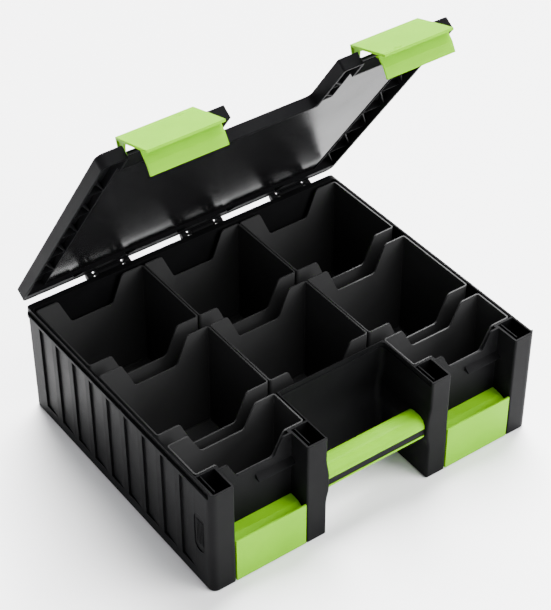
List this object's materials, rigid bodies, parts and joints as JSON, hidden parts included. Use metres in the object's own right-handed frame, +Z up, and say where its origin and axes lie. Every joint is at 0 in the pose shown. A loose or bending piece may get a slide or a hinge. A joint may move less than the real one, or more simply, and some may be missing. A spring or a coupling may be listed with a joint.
{
  "type": "fishing tackle box",
  "caption": "Open plastic tackle box with hinged lid, snap latches, front carry handle, stacking latches and lift-out storage bins.",
  "frame": {"origin": "centre of the flat underside of the case", "axes": "+X to the right seen from the front, -Y toward the handle and latches, +Z up; the lid's hinge axis runs along X at the rear"},
  "size_m": [0.4, 0.3534, 0.4353],
  "materials": {
    "case": "satin, fine moulded texture",
    "bin": "satin",
    "lid": "satin, fine moulded texture",
    "panel": "polished",
    "green": "satin gloss",
    "pin": "smooth",
    "insert": "fine ribs"
  },
  "bodies": {
    "case": {"base_case": "case", "handle_core": "case", "handle_grip_upper": "green", "handle_grip_lower": "green", "stack_pin_left": "pin", "stack_pin_right": "pin", "hinge_pin_left": "pin", "hinge_pin_middle": "pin", "hinge_pin_right": "pin", "side_insert_left": "insert", "side_insert_right": "insert"},
    "lid": {"lid_shell": "lid", "lid_panel": "panel", "latch_pin_left": "pin", "latch_pin_right": "pin"},
    "latch_left": {"lid_latch_left": "green"},
    "latch_right": {"lid_latch_right": "green"},
    "stack_left": {"stack_latch_left": "green"},
    "stack_right": {"stack_latch_right": "green"},
    "bin_rear_left_body": {"bin_rear_left": "bin"},
    "bin_rear_centre_body": {"bin_rear_centre": "bin"},
    "bin_rear_right_body": {"bin_rear_right": "bin"},
    "bin_middle_left_body": {"bin_middle_left": "bin"},
    "bin_middle_centre_body": {"bin_middle_centre": "bin"},
    "bin_middle_right_body": {"bin_middle_right": "bin"},
    "bin_front_left_body": {"bin_front_left": "bin"},
    "bin_front_right_body": {"bin_front_right": "bin"}
  },
  "joints": [
    {"name": "lid_hinge", "type": "hinge", "parent": "case", "child": "lid", "pos_m": [0, 0.176, 0.1295], "axis": [-1, 0, 0], "range_deg": [-55.55, 54.45]},
    {"name": "lid_latch_left_pivot", "type": "hinge", "parent": "lid", "child": "latch_left", "pos_m": [-0.13045, -0.00007, 0.40526], "axis": [-1, 0, 0], "range_deg": [-50.4, 39.6]},
    {"name": "lid_latch_right_pivot", "type": "hinge", "parent": "lid", "child": "latch_right", "pos_m": [0.13045, -0.00007, 0.40526], "axis": [-1, 0, 0], "range_deg": [-50.4, 39.6]},
    {"name": "stack_latch_left_pivot", "type": "hinge", "parent": "case", "child": "stack_left", "pos_m": [-0.13045, -0.1638, 0.0052], "axis": [1, 0, 0], "range_deg": [0, 35]},
    {"name": "stack_latch_right_pivot", "type": "hinge", "parent": "case", "child": "stack_right", "pos_m": [0.13045, -0.1638, 0.0052], "axis": [1, 0, 0], "range_deg": [0, 35]},
    {"name": "bin_rear_left_lift", "type": "slide", "parent": "case", "child": "bin_rear_left_body", "axis": [0, 0, 1], "range_m": [0, 0.02]},
    {"name": "bin_rear_centre_lift", "type": "slide", "parent": "case", "child": "bin_rear_centre_body", "axis": [0, 0, 1], "range_m": [0, 0.02]},
    {"name": "bin_rear_right_lift", "type": "slide", "parent": "case", "child": "bin_rear_right_body", "axis": [0, 0, 1], "range_m": [0, 0.02]},
    {"name": "bin_middle_left_lift", "type": "slide", "parent": "case", "child": "bin_middle_left_body", "axis": [0, 0, 1], "range_m": [0, 0.135]},
    {"name": "bin_middle_centre_lift", "type": "slide", "parent": "case", "child": "bin_middle_centre_body", "axis": [0, 0, 1], "range_m": [0, 0.135]},
    {"name": "bin_middle_right_lift", "type": "slide", "parent": "case", "child": "bin_middle_right_body", "axis": [0, 0, 1], "range_m": [0, 0.135]},
    {"name": "bin_front_left_lift", "type": "slide", "parent": "case", "child": "bin_front_left_body", "axis": [0, 0, 1], "range_m": [0, 0.135]},
    {"name": "bin_front_right_lift", "type": "slide", "parent": "case", "child": "bin_front_right_body", "axis": [0, 0, 1], "range_m": [0, 0.135]}
  ]
}
